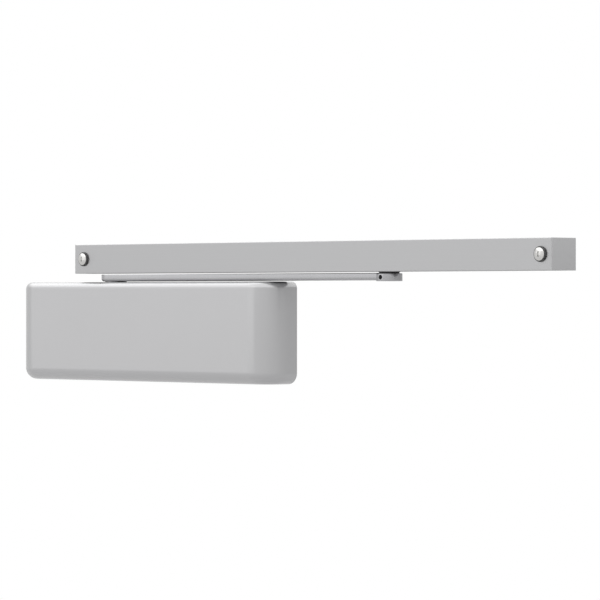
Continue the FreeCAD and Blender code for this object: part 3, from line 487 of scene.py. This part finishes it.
def make_cover():
    """Moulded cover: a thin shell, open at the back, with a round opening over the pinion."""
    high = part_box("cover")[1]
    cover = piece_from(cover_form(0, high.y), "cover_shell", "closer", ("cover",))
    carve(cover, cover_form(COVER_WALL, high.y + MM))
    hole = bmesh.new()
    depth = 2 * COVER_WALL
    lathe(hole, [(0, -depth), (COVER_OPENING, -depth), (COVER_OPENING, MM), (0, MM)],
          Vector((PINION.x, PINION.y, high.z)), Z_AXIS)
    carve(cover, hole)
    dress(cover, "cover_plastic")


# ---- arm -----------------------------------------------------------------------------------
def on_arm(mesh_data):
    """Moves a form built along X from the pinion's axis to the arm's place."""
    placed = Matrix.Translation((PINION.x, PINION.y, 0)) @ Matrix.Rotation(ARM_ANGLE, 4, "Z")
    bmesh.ops.transform(mesh_data, matrix=placed, verts=mesh_data.verts)


def make_arm_bar():
    """Hub and tapered bar in one outline, drawn up to its thickness, with softened rims."""
    form = bmesh.new()
    hub_x = math.sqrt(HUB_RADIUS ** 2 - HUB_HALF_WIDTH ** 2)
    start_angle = math.atan2(HUB_HALF_WIDTH, hub_x)
    first = form.verts.new((hub_x, HUB_HALF_WIDTH, BAR_BOTTOM))
    bmesh.ops.spin(form, geom=[first], cent=(0, 0, BAR_BOTTOM), axis=Z_AXIS, dvec=(0, 0, 0),
                   angle=math.tau - 2 * start_angle, steps=72, use_duplicate=False)
    eye_x = ARM_LENGTH - math.sqrt(EYE_RADIUS ** 2 - EYE_HALF_WIDTH ** 2)
    form.verts.ensure_lookup_table()
    last = max(form.verts, key=lambda v: v.co.x - 10 * v.co.y)
    corners = [form.verts.new((eye_x, side * EYE_HALF_WIDTH, BAR_BOTTOM)) for side in (-1, 1)]
    form.edges.new((last, corners[0]))
    form.edges.new(corners)
    form.edges.new((corners[1], first))
    flat = bmesh.ops.contextual_create(form, geom=form.edges[:])["faces"]
    grown = bmesh.ops.extrude_face_region(form, geom=flat)
    top = [v for v in grown["geom"] if isinstance(v, bmesh.types.BMVert)]
    bmesh.ops.translate(form, verts=top, vec=(0, 0, ARM_THICKNESS))
    bmesh.ops.recalc_face_normals(form, faces=form.faces)
    for height, radius in ((BAR_TOP, ARM_TOP_EDGE), (BAR_BOTTOM, ARM_BOTTOM_EDGE)):
        round_edges(form, [e for e in form.edges if level_at(e, height)], radius, 6)
    flats = [f for f in form.faces if abs(f.normal.z) > 0.99 and f.calc_area() > 1e-4]
    bmesh.ops.inset_individual(form, faces=flats, thickness=FLAT_MARGIN, use_even_offset=True)
    on_arm(form)
    bar = piece_from(form, "arm_bar", "arm", ("arm_lever",))
    sink = bmesh.new()
    lathe(sink, [(0, -SINK_DEPTH), (SINK_FOOT, -SINK_DEPTH),
                 (SINK_RADIUS + SINK_SPARE, SMALL_SPARE), (0, SMALL_SPARE)],
          Vector((PINION.x, PINION.y, BAR_TOP)), Z_AXIS)
    carve(bar, sink)
    dress(bar, "painted_arm")


def make_arm_eye():
    """Round eye at the arm's end, with the set screw's hole in its front."""
    form = bmesh.new()
    bottom = BAR_BOTTOM - EYE_BOTTOM_STEP
    top = BAR_TOP - EYE_TOP_STEP
    lathe(form, rounded_profile(EYE_RADIUS, bottom, top, EYE_EDGE),
          Vector((ARM_LENGTH, 0, 0)), Z_AXIS, 96)
    on_arm(form)
    eye = piece_from(form, "arm_eye", "arm", ())
    hole = bmesh.new()
    middle = Vector((ARM_LENGTH, -EYE_RADIUS - MM, (bottom + top) / 2))
    depth = EYE_RADIUS - STUD_RADIUS
    lathe(hole, [(0, 0), (SET_HOLE_RADIUS, 0), (SET_HOLE_RADIUS, depth), (0, depth)],
          middle, Y_AXIS, 32)
    on_arm(hole)
    carve(eye, hole)
    dress(eye, "painted_arm")


def make_arm_boss():
    """Turned boss under the hub, that reaches down to the pinion."""
    form = bmesh.new()
    lathe(form, rounded_profile(BOSS_RADIUS, BOSS_BOTTOM, BAR_BOTTOM + MM, BOSS_EDGE),
          Vector((0, 0, 0)), Z_AXIS, 64)
    on_arm(form)
    boss = piece_from(form, "arm_boss", "arm", ())
    dress(boss, "painted_arm")


# ---- track screws --------------------------------------------------------------------------
def dome_profile(radius, rim, dome):
    """Pan head: straight rim, then a dome, from the seat outwards."""
    ball = (radius ** 2 + dome ** 2) / (2 * dome)
    full = math.asin(radius / ball)
    points = [(0, 0), (radius, 0)]
    steps = 12
    for step in range(steps + 1):
        turn = full * (1 - step / steps)
        points.append((ball * math.sin(turn), rim + dome - ball * (1 - math.cos(turn))))
    return points


def make_track_screws():
    """Pan-head screws with a cross recess on black washers, and a thread behind the track; the washers' black is
    painted shade, the shadow ring round each head.
    """
    low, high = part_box("track_screws")
    washer_low, washer_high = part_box("screw_washers")
    washer_radius = (washer_high.z - washer_low.z) / 2
    head_radius = (high.z - low.z) / 2
    dome = washer_low.y - low.y - SCREW_RIM
    for name, x in (("left", low.x + head_radius), ("right", high.x - head_radius)):
        first = name == "left"
        seat = Vector((x, washer_low.y, (low.z + high.z) / 2))
        form = bmesh.new()
        lathe(form, dome_profile(head_radius, SCREW_RIM, dome), seat, -Y_AXIS, 64)
        head = piece_from(form, "track_screw_head_" + name, "track", (), 30)
        tip = Vector((x, low.y, seat.z))
        for wide, tall in ((RECESS_REACH, RECESS_HALF_WIDTH), (RECESS_HALF_WIDTH, RECESS_REACH)):
            carve(head, recess_wing(tip, wide, tall))
        dress(head, "plated_screw")
        replaced = ("track_screws",) if first else ()
        shank = piece_from(thread_form(seat, high.y), "track_screw_shank_" + name, "track",
                           replaced, 30)
        dress(shank, "plated_screw")
        # Black washer under each head: a real washer whose black is painted shade, standing in for the dark shadow
        # ring round the screw head.
        form = bmesh.new()
        thickness = washer_high.y - washer_low.y
        lathe(form, rounded_profile(washer_radius, 0, thickness, WASHER_EDGE),
              Vector((x, washer_high.y, seat.z)), -Y_AXIS, 64)
        replaced = ("screw_washers",) if first else ()
        washer = piece_from(form, "track_screw_washer_" + name, "track", replaced)
        dress(washer, "shoe_plastic")


def recess_wing(tip, wide, tall):
    """Tapered slab that cuts one wing of the cross recess."""
    slab = box_mesh((-wide, -RECESS_SPARE, -tall), (wide, RECESS_DEPTH, tall))
    deep = [v for v in slab.verts if v.co.y > 0]
    bmesh.ops.scale(slab, vec=(RECESS_TAPER, 1, RECESS_TAPER), verts=deep)
    bmesh.ops.translate(slab, verts=slab.verts, vec=tip)
    return slab


def thread_form(seat, end_y):
    """Shank with a thread wound round its core."""
    form = bmesh.new()
    length = end_y - seat.y
    start = -seat.y + THREAD_START
    end = length - SCREW_POINT
    lathe(form, [(0, 0), (SCREW_SHANK, 0), (SCREW_SHANK, start - THREAD_TAPER),
                 (SCREW_CORE, start), (SCREW_CORE, end), (0, length)], seat, Y_AXIS, 48)
    half = THREAD_HALF_WIDTH
    turns = (end - start - 2 * half) / THREAD_PITCH
    foot = seat + Y_AXIS * (start + half)
    flank = [form.verts.new(foot + Vector((r, h, 0))) for r, h in
             ((SCREW_CORE * 0.9, -half), (SCREW_THREAD, 0), (SCREW_CORE * 0.9, half))]
    closed = form.faces.new(flank)
    steps = int(turns * THREAD_STEPS)
    bmesh.ops.spin(form, geom=[closed] + list(closed.edges) + flank, cent=foot, axis=Y_AXIS,
                   dvec=Y_AXIS * (THREAD_PITCH * turns / steps), angle=math.tau * turns, steps=steps,
                   use_duplicate=False)
    return form


# ---- track end caps ------------------------------------------------------------------------
def make_end_caps():
    """Moulded caps: a plate with softened edges over each end, on a plug inside the channel."""
    for side, node in ((-1, "track_end_cap_left"), (1, "track_end_cap_right")):
        low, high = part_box(node)
        outer = high.x if side > 0 else low.x
        face = outer - side * CAP_PLATE
        inner = low.x if side > 0 else high.x
        form = box_mesh((min(outer, face), low.y, low.z), (max(outer, face), high.y, high.z))
        round_edges(form, [e for e in form.edges if all(abs(v.co.x - outer) < NEAR for v in e.verts)],
                    CAP_EDGE, 4)
        plate = piece_from(form, node + "_plate", "track", (node,))
        dress(plate, "cap_plastic")
        form = box_mesh((min(inner, face), low.y + CHANNEL_WALL, low.z + CHANNEL_WALL),
                        (max(inner, face), high.y - CHANNEL_WALL, high.z - CHANNEL_WALL))
        plug = piece_from(form, node + "_plug", "track")
        dress(plug, "cap_plastic")


# ---- slide shoe ----------------------------------------------------------------------------
def make_slide_shoe():
    """Black moulded shoe: block in the track, neck through the slot, round collar below."""
    low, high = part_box("slide_shoe")
    track_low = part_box("track_channel")[0]
    lip_top = track_low.z + LIP_TOP
    form = box_mesh((low.x, low.y, lip_top), high)
    upright = [e for e in form.edges if abs(e.verts[0].co.z - e.verts[1].co.z) > MM]
    round_edges(form, upright, SHOE_CORNER, 8)
    rims = [e for e in form.edges if abs(e.verts[0].co.z - e.verts[1].co.z) < NEAR]
    round_edges(form, rims, SHOE_EDGE, 3)
    block = piece_from(form, "slide_shoe_block", "slide_shoe", ("slide_shoe",))
    dress(block, "shoe_plastic")
    form = bmesh.new()
    collar_top = track_low.z - COLLAR_GAP
    lathe(form, rounded_profile(COLLAR_RADIUS, low.z, collar_top, COLLAR_EDGE),
          Vector((STUD.x, STUD.y, 0)), Z_AXIS, 72)
    collar = piece_from(form, "slide_shoe_collar", "slide_shoe", ())
    dress(collar, "shoe_plastic")
    neck_half = BUSH_RADIUS + NECK_WALL
    form = box_mesh((STUD.x - NECK_LENGTH / 2, STUD.y - neck_half, collar_top - NECK_OVERLAP),
                    (STUD.x + NECK_LENGTH / 2, STUD.y + neck_half, lip_top + NECK_OVERLAP))
    upright = [e for e in form.edges if abs(e.verts[0].co.z - e.verts[1].co.z) > MM]
    round_edges(form, upright, NECK_CORNER, 6)
    neck = piece_from(form, "slide_shoe_neck", "slide_shoe", ())
    dress(neck, "shoe_plastic")


def make_closer_spring():
    """Coil spring in two halves, a piston end on the left and a seat end on the right."""
    low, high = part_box("closer_spring")
    middle = (low + high) / 2
    mean_radius = (high.z - low.z) / 2 - SPRING_WIRE
    half = middle.x - low.x
    turns = SPRING_TURNS / 2
    steps = int(turns * SPRING_STEPS)
    for end, start_x, side, follows, slide, replaced in (
        ("piston_end", low.x + SPRING_WIRE, 1, "arm_swing", "piston_slide", ("closer_spring",)),
        ("seat_end", high.x - SPRING_WIRE, -1, "spring_seat_slide", "spring_seat_slide", ()),
    ):
        form = bmesh.new()
        foot = Vector((start_x, middle.y, middle.z))
        upright = Matrix.Rotation(math.pi / 2, 4, "X")
        section = Matrix.Translation(foot + Z_AXIS * mean_radius) @ upright
        bmesh.ops.create_circle(form, cap_ends=True, segments=14, radius=SPRING_WIRE,
                                matrix=section)
        reach = side * (half - SPRING_WIRE)
        bmesh.ops.spin(form, geom=form.verts[:] + form.edges[:] + form.faces[:], cent=foot,
                       axis=X_AXIS, dvec=X_AXIS * (reach / steps),
                       angle=side * math.tau * turns, steps=steps, use_duplicate=False)
        spring = piece_from(form, "closer_spring_" + end, "closer", replaced)
        dress(spring, "spring_steel")
        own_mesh(spring)


# ---- the CAD nodes that stay ---------------------------------------------------------------
def dress_cad_nodes():
    """Every CAD node gets its slot's material."""
    for entry in frame["record"]["subparts"]:
        node = frame["nodes"][entry["node"]]
        dress(node, entry["material_slot"])


# ---- studio --------------------------------------------------------------------------------
def make_floor():
    """Plain pale floor below the part."""
    form = bmesh.new()
    bmesh.ops.create_circle(form, cap_ends=True, segments=128, radius=FLOOR_RADIUS,
                            matrix=Matrix.Translation((FLOOR_CENTRE_X, 0, FLOOR_HEIGHT)))
    floor = piece_from(form, "floor", None)
    material, _, shader, _ = surface("pale_floor", Roughness=0.9)
    shader.inputs["Base Color"].default_value = srgb(FLOOR_COLOUR)
    floor.data.materials.append(material)


def make_world():
    """White surround; what it throws on the part is brightest from above and from the front."""
    world = bpy.data.worlds.new("studio")
    bpy.context.scene.world = world
    world.use_nodes = True
    tree = world.node_tree
    direction = add(tree, "ShaderNodeTexCoord").outputs["Generated"]
    toward = add(tree, "ShaderNodeVectorMath", {0: direction, 1: -Y_AXIS}, operation="DOT_PRODUCT")
    side = add(tree, "ShaderNodeMapRange", {
        "Value": toward.outputs["Value"], "From Min": -1.0,
        "To Min": WORLD_BACK, "To Max": WORLD_FRONT})
    height = add(tree, "ShaderNodeSeparateXYZ", {0: direction}).outputs["Z"]
    wall = add(tree, "ShaderNodeMapRange", {
        "Value": height, "From Min": HORIZON_LOW, "From Max": HORIZON_HIGH,
        "To Min": LOW_SHADE, "To Max": 1.0})
    sky = add(tree, "ShaderNodeMapRange", {
        "Value": height, "From Min": SKY_START, "From Max": SKY_START + SKY_BLEND,
        "To Max": SKY_BOOST}, interpolation_type="SMOOTHSTEP")
    around = add(tree, "ShaderNodeMath", {0: side.outputs["Result"], 1: wall.outputs["Result"]},
                 operation="MULTIPLY")
    thrown = add(tree, "ShaderNodeMath", {0: around.outputs[0], 1: sky.outputs["Result"]},
                 operation="ADD")
    ray = add(tree, "ShaderNodeLightPath").outputs["Is Camera Ray"]
    strength = add(tree, "ShaderNodeMix", {0: ray, 2: thrown.outputs[0], 3: 1.0})
    background = tree.nodes["Background"]
    background.inputs["Color"].default_value = (1, 1, 1, 1)
    tree.links.new(strength.outputs[0], background.inputs["Strength"])


def make_lights():
    """A broad key from the front left and a soft lamp overhead."""
    for name, place, power, width, depth in (
        ("key", (-1.8, -2.6, 0.9), KEY_POWER, 3.0, 2.4),
        ("overhead", (-0.75, -0.1, 1.2), OVERHEAD_POWER, 0.9, 1.4),
    ):
        lamp = bpy.data.lights.new(name, "AREA")
        lamp.shape = "RECTANGLE"
        lamp.size = width
        lamp.size_y = depth
        lamp.energy = power
        light = bpy.data.objects.new(name, lamp)
        light.location = place
        aim = Vector(AIM) - Vector(place)
        light.rotation_euler = aim.to_track_quat("-Z", "Y").to_euler()
        light.visible_camera = False
        bpy.context.scene.collection.objects.link(light)


def make_camera():
    """Level camera at 45 degrees from the right, with a long lens."""
    data = bpy.data.cameras.new("camera")
    data.sensor_width = 36
    data.lens = CAMERA_LENS
    data.shift_y = CAMERA_SHIFT
    camera = bpy.data.objects.new("camera", data)
    camera.location = CAMERA_PLACE
    camera.rotation_euler = (math.radians(90), 0, math.radians(CAMERA_YAW))
    bpy.context.scene.collection.objects.link(camera)
    bpy.context.scene.camera = camera
    bpy.context.scene.view_settings.view_transform = "Standard"


make_camera()
make_floor()
make_world()
make_lights()
dress_cad_nodes()
make_cover()
make_arm_bar()
make_arm_eye()
make_arm_boss()
make_track_screws()
make_end_caps()
make_slide_shoe()
make_closer_spring()
